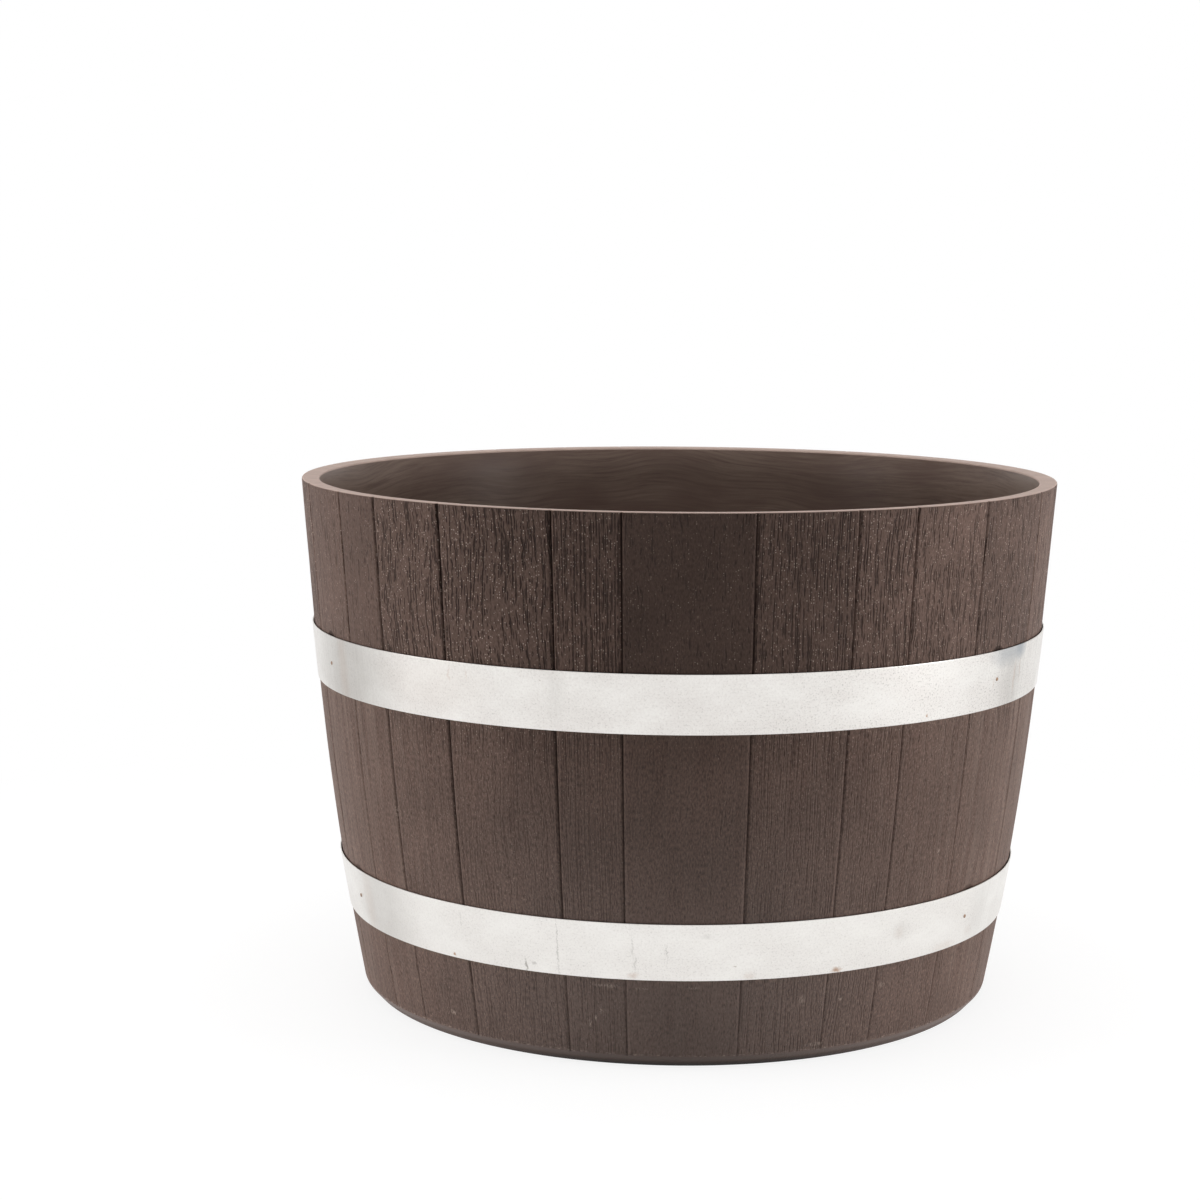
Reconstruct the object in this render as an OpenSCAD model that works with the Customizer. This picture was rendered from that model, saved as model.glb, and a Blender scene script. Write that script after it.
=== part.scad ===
// Half-barrel planter: a one-piece moulded shell in the form of a coopered tub,
// bound by two galvanised steel hoops. Each hoop is a single strip with its ends
// lapped and riveted at the back, and three brads pin it to the shell.
// Millimetres, +Z up, origin on the ground in the middle of the base.
// Angles go round from the front (-Y), positive towards the right (+X).

/* [Shell] */
// Outside diameter across the rim
rim_d = 520; // [420:1:640]
// Overall height
height = 356; // [320:1:420]
// Thickness of the wall
wall = 12; // [8:0.5:18]
// Lean of the straight upper part of the staves
lean = 4.5; // [2:0.1:7]
// Height of the straight upper part, down from the rim
straight_h = 107; // [60:1:150]
// Radius of the bow of the staves below the straight part
bow_r = 2215; // [1500:5:4000]
// Rounding of both edges of the rim
rim_round = 1.2; // [0.5:0.1:3]

/* [Base] */
// Thickness of the floor
floor_t = 12; // [8:0.5:18]
// Height of the foot ring under the floor
foot_h = 6; // [3:0.5:12]
// Width of the foot ring
foot_w = 20; // [12:1:40]
// Height of the smooth bevel round the bottom
bevel_h = 7; // [3:0.5:12]
// Width of that bevel
bevel_w = 6.5; // [2:0.5:10]
// Radius in the corner between floor and wall
corner_r = 14; // [4:1:30]
// Diameter of the drain hole
drain_d = 24; // [10:1:40]

/* [Stave joints] */
// Widths of the staves at the rim, going round from the first joint
stave_w = [62, 43, 59, 80, 44, 82, 66, 43, 64, 78, 47, 64, 80, 44, 61, 82, 43, 64, 79, 45, 60, 81, 43, 65, 81, 72];
// Angle of the first joint
first_joint_at = -71; // [-180:1:180]
// Width of a joint at the surface
joint_w = 3.2; // [1:0.1:5]
// Depth of a joint at the rim
joint_depth = 2; // [0.5:0.1:3]

/* [Hoops] */
// Width of the strip
hoop_w = 38; // [20:0.5:50]
// Thickness of the strip
hoop_t = 0.8; // [0.5:0.1:2]
// Distance from the rim down to the middle of the upper hoop
upper_hoop_drop = 117.5; // [90:0.5:140]
// Height of the middle of the lower hoop
lower_hoop_z = 79; // [60:0.5:110]
// Clearance of a hoop to the shell at its lower edge
hoop_fit = 0.1; // [0.05:0.05:0.4]
// Gap behind the upper edge, where the stiff strip stands off the bowed staves
hoop_gap = 0.6; // [0.3:0.1:1.5]
// Angle of the middle of the lap at the back
lap_at = 180; // [120:1:240]
// Length of the lap
lap_len = 48; // [30:1:80]
// Length of the crank that lifts the outer end over the inner end
crank_len = 14; // [8:1:25]
// Diameter of a rivet's shank
rivet_d = 4; // [2:0.1:6]
// Diameter of a rivet's head
rivet_head_d = 8; // [5:0.1:12]
// Height of a rivet's head
rivet_head_h = 1.8; // [1:0.1:3]
// Distance between the two rivets of a lap
rivet_pitch = 24; // [14:1:40]

/* [Brads] */
// Angle of the first brad
first_brad_at = -65; // [-180:1:180]
// Number of brads in a hoop
brads = 3; // [2:1:6]
// Diameter of a brad's shank
brad_d = 1.6; // [1:0.1:3]
// Diameter of a brad's head
brad_head_d = 2.6; // [2:0.1:5]
// Height of a brad's head
brad_head_h = 0.6; // [0.4:0.1:2]
// How far a brad goes into the wall
brad_bite = 7; // [4:0.5:7.5]
// Clearance round a shank in the strip
shank_fit = 0.1; // [0.05:0.05:0.3]
// Diameter of the moulded dimple at the upper edge of the hoop over each brad
dimple_d = 20; // [10:1:30]
// Depth of that dimple
dimple_depth = 1.2; // [0.4:0.1:2]
// How much of the dimple shows above the hoop
dimple_show = 3.5; // [1:0.5:8]

/* [Hidden] */
HOOPS = ["upper", "lower"];
RIVETS = 2;
BRAD_NODES = [for (h = HOOPS, i = [1:brads]) str(h, "_brad_", i)];
RIVET_NODES = [for (h = HOOPS, i = [1:RIVETS]) str(h, "_rivet_", i)];

SHELL_COLOUR = "#5b4a43";
STEEL_COLOUR = "#dedcd8";
BRAD_COLOUR = "#6f6a66";
ROUND = 360;        // facets of the turned pieces
BOW = 2880;         // facets of the full circle that the bow is a part of
SMALL = 48;         // facets of pins, holes and fillets
EPS = 0.01;         // cuts run this far past the face that they open
SINK = 0.1;         // the faces of a crank lie this far inside those of the strip

rim_r = rim_d / 2;
bow_top_z = height - straight_h;
bow_top_r = rim_r - straight_h * tan(lean);
bow_x = bow_top_r - bow_r * cos(lean);
bow_z = bow_top_z + bow_r * sin(lean);
floor_z = foot_h + floor_t;
foot_r = outside_r(bevel_h) - bevel_w;
stave_total = stave_sum(len(stave_w));

function stave_sum(n) = n == 0 ? 0 : stave_w[n - 1] + stave_sum(n - 1);
function joint_angle(i) = first_joint_at + 360 * stave_sum(i) / stave_total;
function brad_angle(i) = first_brad_at + 360 * (i - 1) / brads;
function hoop_z(hoop) = hoop == "upper" ? height - upper_hoop_drop : lower_hoop_z;

// Radius of the shell's outside at height z, and its lean there
function outside_r(z) = z > bow_top_z
    ? rim_r - (height - z) * tan(lean)
    : bow_x + sqrt(pow(bow_r, 2) - pow(bow_z - z, 2));
function outside_lean(z) = z > bow_top_z ? lean : asin((bow_z - z) / bow_r);
function inside_r(z) = bow_x + sqrt(pow(bow_r - wall, 2) - pow(bow_z - z, 2));
function along_wall(tilt) = [sin(tilt), cos(tilt)];

// A hoop's lower and upper edge, its lean, and the radius of its inner face half way up
function hoop_low_z(z) = z - hoop_w / 2 * cos(outside_lean(z));
function hoop_high_z(z) = z + hoop_w / 2 * cos(outside_lean(z));
function hoop_low_r(z) = outside_r(hoop_low_z(z)) + hoop_fit;
function hoop_high_r(z) = outside_r(hoop_high_z(z)) + hoop_gap;
function hoop_lean(z) = atan((hoop_high_r(z) - hoop_low_r(z)) / (hoop_high_z(z) - hoop_low_z(z)));
function hoop_mid_r(z) = (hoop_low_r(z) + hoop_high_r(z)) / 2;
function along(z, length) = length / hoop_mid_r(z) * 180 / PI;
function rivet_angle(i, z) = lap_at + along(z, rivet_pitch) * (i - (RIVETS + 1) / 2);
function brad_reach(z) = hoop_mid_r(z) - outside_r(z) + brad_bite;

// Puts children at an angle, radius and height, their +Z square to a wall that leans by tilt
module on_wall(angle, r, z, tilt) {
    rotate([0, 0, angle - 90])
        translate([r, 0, z])
            rotate([0, 90 + tilt, 0])
                children();
}

// What a rounding takes off a corner p between the edges that leave it along u and v
module round_off(p, u, v, r) {
    half = acos(u * v) / 2;
    middle = (u + v) / norm(u + v);
    centre = p + middle * r / sin(half);
    reach = r / tan(half);
    difference() {
        polygon([p - middle * r, p + u * reach, centre, p + v * reach]);
        translate(centre)
            circle(r = r, $fn = SMALL);
    }
}

// Half of the tub's section, filled in to the axis and drawn in from the outside by inset
module tub_section(inset, bottom) {
    tangent_z = bow_top_z + inset * sin(lean);
    intersection() {
        translate([bow_x, bow_z])
            circle(r = bow_r - inset, $fn = BOW);
        translate([0, bottom])
            square([rim_r, tangent_z - bottom]);
    }
    polygon([
        [0, tangent_z],
        [bow_top_r - inset * cos(lean), tangent_z],
        [rim_r - inset / cos(lean), height],
        [0, height]
    ]);
}

// Section of the hollow, with its corner rounded
module hollow_section() {
    corner = [inside_r(floor_z), floor_z];
    difference() {
        tub_section(wall, floor_z);
        round_off(corner, [-1, 0], along_wall(outside_lean(floor_z)), corner_r);
    }
}

// Section of the shell: wall, rim, floor, foot ring, bevel and drain hole
module shell_section() {
    bevel_r = foot_r + bevel_w;
    difference() {
        tub_section(0, 0);
        hollow_section();
        round_off([rim_r, height], [-1, 0], -along_wall(lean), rim_round);
        round_off([rim_r - wall / cos(lean), height], [1, 0], -along_wall(lean), rim_round);
        translate([0, -EPS])
            square([foot_r - foot_w, foot_h + EPS]);
        square([drain_d / 2, floor_z + EPS]);
        polygon([[foot_r, 0], [bevel_r + bevel_w, 0], [bevel_r + bevel_w, bevel_h], [bevel_r, bevel_h]]);
    }
}

// Section of a joint, its point down in the wall and its sides running out past the surface
module joint_section() {
    polygon([[-joint_depth, 0], [joint_depth, -joint_w], [joint_depth, joint_w]]);
}

// One joint between two staves, from the bevel up the bow and out through the rim
module stave_joint(angle) {
    bevel_lean = outside_lean(bevel_h);
    rotate([0, 0, angle - 90]) {
        translate([bow_x, 0, bow_z])
            rotate([90, 0, 0])
                rotate([0, 0, -bevel_lean])
                    rotate_extrude(angle = bevel_lean - lean, $fn = BOW)
                        translate([bow_r, 0])
                            joint_section();
        translate([bow_top_r, 0, bow_top_z])
            rotate([0, lean, 0])
                linear_extrude(straight_h / cos(lean) + joint_depth)
                    joint_section();
    }
}

// A shallow round dimple over a brad, half hidden by the hoop's upper edge
module dimple(angle, z) {
    ball_r = (pow(dimple_d / 2, 2) + pow(dimple_depth, 2)) / (2 * dimple_depth);
    dimple_z = hoop_high_z(z) + dimple_show - dimple_d / 2;
    on_wall(angle, outside_r(dimple_z), dimple_z, outside_lean(dimple_z))
        translate([0, 0, ball_r - dimple_depth])
            sphere(r = ball_r, $fn = ROUND);
}

module planter_shell() {
    color(SHELL_COLOUR)
        difference() {
            rotate_extrude($fn = ROUND)
                shell_section();
            for (i = [0:len(stave_w) - 1])
                stave_joint(joint_angle(i));
            for (hoop = HOOPS, i = [1:brads]) {
                dimple(brad_angle(i), hoop_z(hoop));
                on_hoop(brad_angle(i), hoop_z(hoop))
                    translate([0, 0, -brad_reach(hoop_z(hoop))])
                        cylinder(d = brad_d, h = brad_reach(hoop_z(hoop)), $fn = SMALL);
            }
        }
}

// Puts children on the inner face of a hoop, half way up, their +Z out through the strip
module on_hoop(angle, z) {
    on_wall(angle, hoop_mid_r(z), z, hoop_lean(z))
        children();
}

// Section of the strip; layer 1 is the end that laps over the outside
module strip_section(z, layer) {
    out = hoop_t * [cos(hoop_lean(z)), -sin(hoop_lean(z))];
    low = [hoop_low_r(z), hoop_low_z(z)] + layer * out;
    high = [hoop_high_r(z), hoop_high_z(z)] + layer * out;
    polygon([low, low + out, high + out, high]);
}

module strip(z, layer, from, sweep) {
    rotate([0, 0, from - 90])
        rotate_extrude(angle = sweep, $fn = ROUND)
            strip_section(z, layer);
}

// The straight length that climbs from layer 0 to layer 1 between angles a and b, with its
// ends sunk into both layers
module crank(z, a, b) {
    sag = pow(crank_len, 2) / (8 * hoop_mid_r(z));
    on_hoop((a + b) / 2, z)
        translate([0, 0, hoop_t - sag])
            rotate([atan(hoop_t / crank_len), 0, 0])
                cube([hoop_w - 2 * SINK, crank_len + 2 * hoop_t, hoop_t - 2 * SINK], center = true);
}

// A hoop whose middle is at height z: one strip round the shell, cranked out over its own start
module hoop(z) {
    inner_end = lap_at - along(z, lap_len) / 2;
    crank_start = inner_end - along(z, crank_len);
    color(STEEL_COLOUR)
        difference() {
            union() {
                strip(z, 0, inner_end, 360 + crank_start - inner_end);
                strip(z, 1, inner_end, along(z, lap_len));
                crank(z, crank_start, inner_end);
            }
            for (i = [1:brads])
                on_hoop(brad_angle(i), z)
                    cylinder(d = brad_d + 2 * shank_fit, h = 4 * hoop_t, center = true, $fn = SMALL);
            for (i = [1:RIVETS])
                on_hoop(rivet_angle(i, z), z)
                    cylinder(d = rivet_d + 2 * shank_fit, h = 8 * hoop_t, center = true, $fn = SMALL);
        }
}

module upper_hoop() {
    hoop(hoop_z("upper"));
}

module lower_hoop() {
    hoop(hoop_z("lower"));
}

// Low round head of a pin, its flat side at zero
module dome(d, h) {
    ball_r = (pow(d / 2, 2) + pow(h, 2)) / (2 * h);
    intersection() {
        translate([0, 0, h - ball_r])
            sphere(r = ball_r, $fn = SMALL * 2);
        cylinder(d = d, h = h, $fn = SMALL);
    }
}

// A brad through the strip into the wall, with its point
module brad(hoop, i) {
    reach = brad_reach(hoop_z(hoop));
    color(BRAD_COLOUR)
        on_hoop(brad_angle(i), hoop_z(hoop)) {
            translate([0, 0, hoop_t])
                dome(brad_head_d, brad_head_h);
            translate([0, 0, brad_d - reach])
                cylinder(d = brad_d, h = reach - brad_d + hoop_t, $fn = SMALL);
            translate([0, 0, -reach])
                cylinder(d1 = brad_d / 8, d2 = brad_d, h = brad_d, $fn = SMALL);
        }
}

// A rivet through both ends of the strip, closed flush inside
module rivet(hoop, i) {
    z = hoop_z(hoop);
    color(STEEL_COLOUR)
        on_hoop(rivet_angle(i, z), z) {
            cylinder(d = rivet_d, h = 2 * hoop_t, $fn = SMALL);
            translate([0, 0, 2 * hoop_t])
                dome(rivet_head_d, rivet_head_h);
        }
}

planter_shell();
upper_hoop();
lower_hoop();
for (hoop = HOOPS, i = [1:brads])
    brad(hoop, i);
for (hoop = HOOPS, i = [1:RIVETS])
    rivet(hoop, i);
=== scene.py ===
"""Half-barrel planter: a moulded tub with wood grain, bound by two lapped galvanised hoops."""
import bisect
import functools
import math

import bmesh
import bpy
from mathutils import Matrix, Vector, noise


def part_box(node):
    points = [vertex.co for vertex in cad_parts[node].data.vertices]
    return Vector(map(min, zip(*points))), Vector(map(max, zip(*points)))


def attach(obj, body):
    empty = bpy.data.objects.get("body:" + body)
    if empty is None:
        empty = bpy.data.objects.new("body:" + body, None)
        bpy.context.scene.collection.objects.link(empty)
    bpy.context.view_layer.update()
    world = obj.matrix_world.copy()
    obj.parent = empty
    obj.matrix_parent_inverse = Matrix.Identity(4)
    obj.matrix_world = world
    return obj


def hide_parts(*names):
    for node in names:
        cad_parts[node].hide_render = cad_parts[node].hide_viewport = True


bl_info = {
    "name": "Half-Barrel Planter",
    "version": (1, 0, 0),
    "blender": (4, 5, 0),
    "location": "View3D > Sidebar > Planter",
    "description": "Builds a moulded half-barrel planter with galvanised hoops",
    "category": "Add Mesh",
}

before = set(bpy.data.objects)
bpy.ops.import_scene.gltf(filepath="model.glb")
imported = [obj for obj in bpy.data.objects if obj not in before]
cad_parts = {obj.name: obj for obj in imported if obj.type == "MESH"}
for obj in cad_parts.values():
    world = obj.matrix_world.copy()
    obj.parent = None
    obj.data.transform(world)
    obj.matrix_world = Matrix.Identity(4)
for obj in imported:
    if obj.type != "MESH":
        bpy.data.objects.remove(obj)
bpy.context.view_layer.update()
SHELL_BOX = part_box("planter_shell")

MM = 0.001
TURN = 2 * math.pi

# Widths of the staves at the rim in millimetres, going round from the first joint. The front
# half is measured, and the back carries on in the same manner.
STAVE_WIDTHS = (62, 43, 59, 80, 44, 82, 66, 43, 64, 78, 47, 64, 80,
                44, 61, 82, 43, 64, 79, 45, 60, 81, 43, 65, 81, 72)
FIRST_JOINT = math.radians(-71)
HOOPS = ("upper", "lower")
BRADS = 3
RIVETS = 2


def hex_colour(code):
    """Linear RGBA of an sRGB colour given as #rrggbb."""
    channels = [int(code[i:i + 2], 16) / 255 for i in (1, 3, 5)]
    linear = [c / 12.92 if c <= 0.04045 else ((c + 0.055) / 1.055) ** 2.4 for c in channels]
    return (*linear, 1.0)


# Sizes and colours that a user would change


def length_property(name, description, size):
    """A property for a length, with its default in metres."""
    return bpy.props.FloatProperty(name=name, description=description, default=size, unit="LENGTH")


def angle_property(name, description, angle):
    """A property for an angle, with its default in radians."""
    return bpy.props.FloatProperty(name=name, description=description, default=angle, subtype="ANGLE")


def colour_property(name, description, code):
    """A property for a colour, with its default as an sRGB hex value."""
    return bpy.props.FloatVectorProperty(
        name=name, description=description, size=4, min=0, max=1,
        subtype="COLOR", default=hex_colour(code))


class ShellSizes(bpy.types.PropertyGroup):
    rim_r: length_property("Rim radius", "Outside radius at the rim", 260 * MM)
    height: length_property("Height", "Overall height", SHELL_BOX[1].z)
    wall: length_property("Wall", "Thickness of the wall", 12 * MM)
    lean: angle_property("Lean", "Lean of the straight upper part", math.radians(4.5))
    straight_h: length_property("Straight height", "Height of the straight upper part", 107 * MM)
    bow_r: length_property("Bow radius", "Radius of the staves' bow", 2.215)
    rim_round: length_property("Rim rounding", "Rounding of the rim's edges", 1.2 * MM)
    floor_t: length_property("Floor", "Thickness of the floor", 12 * MM)
    foot_h: length_property("Foot height", "Height of the foot ring", 6 * MM)
    foot_w: length_property("Foot width", "Width of the foot ring", 20 * MM)
    bevel_h: length_property("Bevel height", "Height of the bevel round the bottom", 7 * MM)
    bevel_w: length_property("Bevel width", "Width of the bevel round the bottom", 6.5 * MM)
    corner_r: length_property("Corner radius", "Radius in the corner between floor and wall", 14 * MM)
    drain_r: length_property("Drain hole radius", "Radius of the drain hole", 12 * MM)
    joint_depth: length_property("Joint depth", "Depth of a joint at the rim", 2 * MM)
    relief: length_property("Grain relief", "Depth of the broad ridges of the moulded grain", 0.3 * MM)


class HoopSizes(bpy.types.PropertyGroup):
    width: length_property("Strip width", "Width of the strip", 38 * MM)
    thickness: length_property("Strip thickness", "Thickness of the strip", 0.8 * MM)
    upper_drop: length_property(
        "Upper hoop", "From the rim down to the middle of the upper hoop", 117.5 * MM)
    lower_z: length_property("Lower hoop", "Height of the middle of the lower hoop", 79 * MM)
    fit: length_property("Fit", "Clearance to the shell at the lower edge", 0.1 * MM)
    gap: length_property("Gap", "Gap behind the upper edge", 0.6 * MM)
    lap_at: angle_property("Lap", "Angle of the middle of the lap", math.pi)
    lap_len: length_property("Lap length", "Length of the lap", 48 * MM)
    crank_len: length_property("Crank length", "Length of the crank before the lap", 14 * MM)


class PinSizes(bpy.types.PropertyGroup):
    first_brad: angle_property("First brad", "Angle of the first brad", math.radians(-65))
    brad_d: length_property("Brad shank", "Diameter of a brad's shank", 1.6 * MM)
    brad_head_d: length_property("Brad head", "Diameter of a brad's head", 2.6 * MM)
    brad_head_h: length_property("Brad head height", "Height of a brad's head", 0.6 * MM)
    brad_bite: length_property("Brad bite", "How far a brad goes into the wall", 7 * MM)
    dimple_d: length_property("Dimple", "Diameter of the dimple over a brad", 20 * MM)
    dimple_depth: length_property("Dimple depth", "Depth of that dimple", 1.2 * MM)
    dimple_show: length_property(
        "Dimple shows", "How much of the dimple shows above the hoop", 3.5 * MM)
    rivet_d: length_property("Rivet shank", "Diameter of a rivet's shank", 4 * MM)
    rivet_head_d: length_property("Rivet head", "Diameter of a rivet's head", 8 * MM)
    rivet_head_h: length_property("Rivet head height", "Height of a rivet's head", 1.8 * MM)
    rivet_pitch: length_property("Rivet pitch", "Distance between the two rivets of a lap", 24 * MM)


class PlanterColours(bpy.types.PropertyGroup):
    stave: colour_property("Stave", "Moulded staves", "#594841")
    pore: colour_property("Pore", "Bottom of the moulded grain and joints", "#211713")
    ridge: colour_property("Ridge", "Painted glints, rubbed edges, scuffs and smears", "#b5a498")
    inside: colour_property("Inside", "Smooth moulded inside", "#725d54")
    swirl: colour_property("Swirl", "Paler flow marks inside", "#8f7c70")
    rim: colour_property("Rim", "Trimmed top of the rim", "#c9b0a4")
    painted_shadow: colour_property("Painted shadow", "Painted contact shadow on the bevel", "#0b0706")
    veil: colour_property("Pale veil", "Pale veil low on the staves, as dust and painted sheen, and at the top of the bevel", "#dcd8d6")
    zinc: colour_property("Zinc", "Galvanised strip", "#f1efeb")
    bloom: colour_property("Zinc bloom", "Dull patches on the strip", "#e1ddd9")
    tarnish: colour_property("Tarnish and shade", "Dark specks and creases in the zinc, and painted shade at its sides", "#8c8882")
    stain: colour_property("Water stain", "Blue-grey stain on the upper hoop, and on rivets", "#87919b")
    rust: colour_property("Rust", "Rust on the hoops and brads", "#a87f5e")
    brad: colour_property("Brad", "Dull steel of the brads, and the darkest specks", "#9c8a7c")
    floor: colour_property("Floor", "Studio floor", "#f4f3f1")


# Places on the shell. Angles go round from the front (-Y), positive towards +X


def joint_angles():
    """The angle of each joint, and of the first one again after a full turn."""
    total = sum(STAVE_WIDTHS)
    angles = [FIRST_JOINT]
    for width in STAVE_WIDTHS:
        angles.append(angles[-1] + TURN * width / total)
    return angles


def at(angle, r, z):
    """The point at an angle, radius and height."""
    return Vector((r * math.sin(angle), -r * math.cos(angle), z))


class Shape:
    """The shell's section, worked out from its sizes as in the CAD model."""

    def __init__(self, s):
        self.s = s
        self.top_z = s.height - s.straight_h
        top_r = s.rim_r - s.straight_h * math.tan(s.lean)
        self.bow_x = top_r - s.bow_r * math.cos(s.lean)
        self.bow_z = self.top_z + s.bow_r * math.sin(s.lean)
        self.floor_z = s.foot_h + s.floor_t
        self.bevel_r = self.outside(s.bevel_h)
        self.foot_r = self.bevel_r - s.bevel_w

    def outside(self, z):
        """The radius of the outside at a height."""
        if z > self.top_z:
            return self.s.rim_r - (self.s.height - z) * math.tan(self.s.lean)
        return self.bow_x + math.sqrt(self.s.bow_r ** 2 - (self.bow_z - z) ** 2)

    def tilt(self, z):
        """How far the outside leans from upright at a height."""
        if z > self.top_z:
            return self.s.lean
        return math.asin((self.bow_z - z) / self.s.bow_r)

    def inside(self, z):
        """The radius of the inside at a height."""
        if z > self.top_z + self.s.wall * math.sin(self.s.lean):
            return self.outside(z) - self.s.wall / math.cos(self.s.lean)
        return self.bow_x + math.sqrt((self.s.bow_r - self.s.wall) ** 2 - (self.bow_z - z) ** 2)


class HoopShape:
    """Where a hoop's strip stands round the shell.

    Low and high are the edges of its inner face as (radius, height), and out points square out of it.
    """

    def __init__(self, name, shape, h):
        self.z = shape.s.height - h.upper_drop if name == "upper" else h.lower_z
        half = h.width / 2 * math.cos(shape.tilt(self.z))
        self.low = Vector((shape.outside(self.z - half) + h.fit, self.z - half))
        self.high = Vector((shape.outside(self.z + half) + h.gap, self.z + half))
        self.mid_r = (self.low.x + self.high.x) / 2
        self.lean = math.atan((self.high.x - self.low.x) / (self.high.y - self.low.y))
        self.out = Vector((math.cos(self.lean), -math.sin(self.lean)))


# Mesh helpers

SHARP = math.radians(42)     # an edge that turns more than this is shaded sharp
TALL = 100 * MM              # only the walls have edges that rise more than this


def outline(bm, points):
    """Vertices and edges along the points of a half section, given as (radius, height)."""
    verts = [bm.verts.new((r, 0, z)) for r, z in points]
    for a, b in zip(verts, verts[1:]):
        bm.edges.new((a, b))


def round_corner(bm, point, radius, segments):
    """Rounds a corner of a section. Radius is how far the rounding reaches along each edge."""
    corner = min(bm.verts, key=lambda v: math.hypot(v.co.x - point[0], v.co.z - point[1]))
    bmesh.ops.bevel(bm, geom=[corner], offset=radius, offset_type="OFFSET", segments=segments,
                    profile=0.5, affect="VERTICES", material=-1)


def cut_wall(bm, heights, radius_at):
    """Cuts a turned wall's tall edges at each of the heights, and bows it to the radius there."""
    tall = [e for e in bm.edges if abs(e.verts[0].co.z - e.verts[1].co.z) > TALL]
    low, high = sorted(v.co.z for v in tall[0].verts)
    bmesh.ops.subdivide_edges(bm, edges=tall, cuts=len(heights), use_grid_fill=True)
    for v in bm.verts:
        row = round((v.co.z - low) / (high - low) * (len(heights) + 1))
        if 0 < row <= len(heights):
            z = heights[row - 1]
            v.co = (*v.co.xy.normalized() * radius_at(z), z)


def finish_mesh(bm, name, materials, replaced):
    """Makes the piece, which rides on the root body and stands for its CAD nodes."""
    bmesh.ops.recalc_face_normals(bm, faces=bm.faces)
    if bm.calc_volume(signed=True) < 0:
        bmesh.ops.reverse_faces(bm, faces=bm.faces)
    if any(len(e.link_faces) != 2 for e in bm.edges):
        raise RuntimeError(name + " isn't a closed mesh")
    for face in bm.faces:
        face.smooth = True
    for edge in bm.edges:
        edge.smooth = edge.calc_face_angle() < SHARP
    mesh = bpy.data.meshes.new(name)
    bm.to_mesh(mesh)
    bm.free()
    for material in materials:
        mesh.materials.append(material)
    piece = bpy.data.objects.new(name, mesh)
    bpy.context.scene.collection.objects.link(piece)
    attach(piece, "root")
    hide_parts(*replaced)


# The shell

# How the staves in front look, by number from the first joint. Slant tips the grain sideways per
# unit of height, waviness bends it, pebbling breaks it up, cover is how much of the stave it takes,
# depth is how deep it came out, and tone is how pale it is above the upper hoop, partly its own
# tone and partly painted shade, with 1 the usual.
FIGURE = ("slant", "wave", "pebble", "cover", "depth", "tone")
STAVE_FIGURES = {
    0: (0.02, 0.5, 0.3, 0.3, 0.70, 1.00),
    1: (0.0, 0.4, 0.6, 0.2, 0.60, 0.90),
    2: (0.0, 1.0, 0.5, 0.7, 1.00, 0.96),
    3: (0.02, 1.3, 0.4, 0.8, 1.10, 0.93),
    4: (0.0, 0.3, 0.1, 1.0, 1.00, 1.00),
    5: (-0.05, 1.2, 0.3, 0.1, 0.80, 0.67),
    6: (0.0, 0.4, 0.1, 0.8, 0.90, 0.90),
    7: (0.0, 1.0, 0.3, 0.8, 1.00, 1.12),
    8: (0.0, 0.6, 0.6, 0.6, 0.85, 1.14),
    9: (-0.08, 1.4, 0.2, 0.5, 0.90, 0.91),
    10: (0.0, 0.6, 0.3, 0.5, 0.80, 1.09),
    11: (0.0, 0.5, 0.3, 0.6, 0.90, 1.05),
}
PLAIN_FIGURE = (0.0, 0.8, 0.4, 0.6, 0.85, 1.03)         # of all the other staves
# How deep the joints in front came out, by number, with 1 the full depth
JOINT_SHARES = (0.5, 0.55, 0.8, 1.0, 1.0, 1.0, 0.8, 0.65, 0.65, 0.5, 0.4, 0.4)
PLAIN_JOINT = 1.0                       # and all the other joints
JOINT_STEPS = (0.3, 0.65, 1.05, 1.5, 2.0)     # columns beside a joint, in mm from its middle
JOINT_LOW = 0.4                         # the share of a joint's depth that is left at the ground
GRAIN_LOW = 0.5                         # and of the grain's
GRAIN_START = 1 * MM                    # from the bevel up to where the grain starts
GRAIN_FADE = 3 * MM                     # and it fades in over this, away from the rim and joints
SUNK = 3 * MM                           # no point of the outside is sunk further in than this
DIMPLE_SHADE = 0.85                     # how dark the painted shade in a dimple is, as a share of a joint's
DIMPLE_EDGE = 7                         # how fast it gets dark from its edge inwards
COLUMN_PITCH = 1.35 * MM                # about the distance between the other columns
WALL_PITCH = 7.2 * MM                   # about the distance between the rows of the open wall
HIDDEN_PITCH = 19 * MM                  # and of those behind the hoops
INSIDE_COLUMNS = 192
INSIDE_ROWS = 16
CLOSE_ROW = 1.2 * MM                    # rows above the hoops, which draw the dimples
CLOSE_ROWS = 5
SUPPORT = 0.5 * MM                      # from a rounding to the next row on a flat
WALL_START = 1.2 * MM                   # from the bevel up to the first row of the wall
WALL_STOP = 1.5 * MM                    # from the rim's rounding down to the last one
FOOT_ROUND = 1.0 * MM                   # roundings that are too small for the CAD model
BEVEL_ROUND = 0.8 * MM
HOLE_ROUND = 1.5 * MM
HOLLOW_ROUND = 3 * MM
GRAINED, SMOOTH, SWIRLED = range(3)     # the shell's materials, by slot
RIM_FALL = 0.45 * MM                    # how much lower the top of the rim lies at its inner edge


def stave_at(angle, joints):
    """The number of the stave at an angle, and the angle brought into the round of the joints."""
    angle = joints[0] + (angle - joints[0]) % TURN
    return min(bisect.bisect_right(joints, angle), len(STAVE_WIDTHS)) - 1, angle


def stave_columns(joints, rim_r):
    """The angles of the outside's columns, close together at the joints."""
    columns = []
    for start, stop in zip(joints, joints[1:]):
        width = (stop - start) * rim_r
        edge = [step * MM for step in JOINT_STEPS]
        across = width - 2 * edge[-1]
        count = round(across / COLUMN_PITCH)
        places = [0, *edge] + [edge[-1] + across * i / count for i in range(1, count)]
        places += [width - e for e in reversed(edge)]
        columns += [start + p / rim_r for p in places]
    return columns


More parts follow.
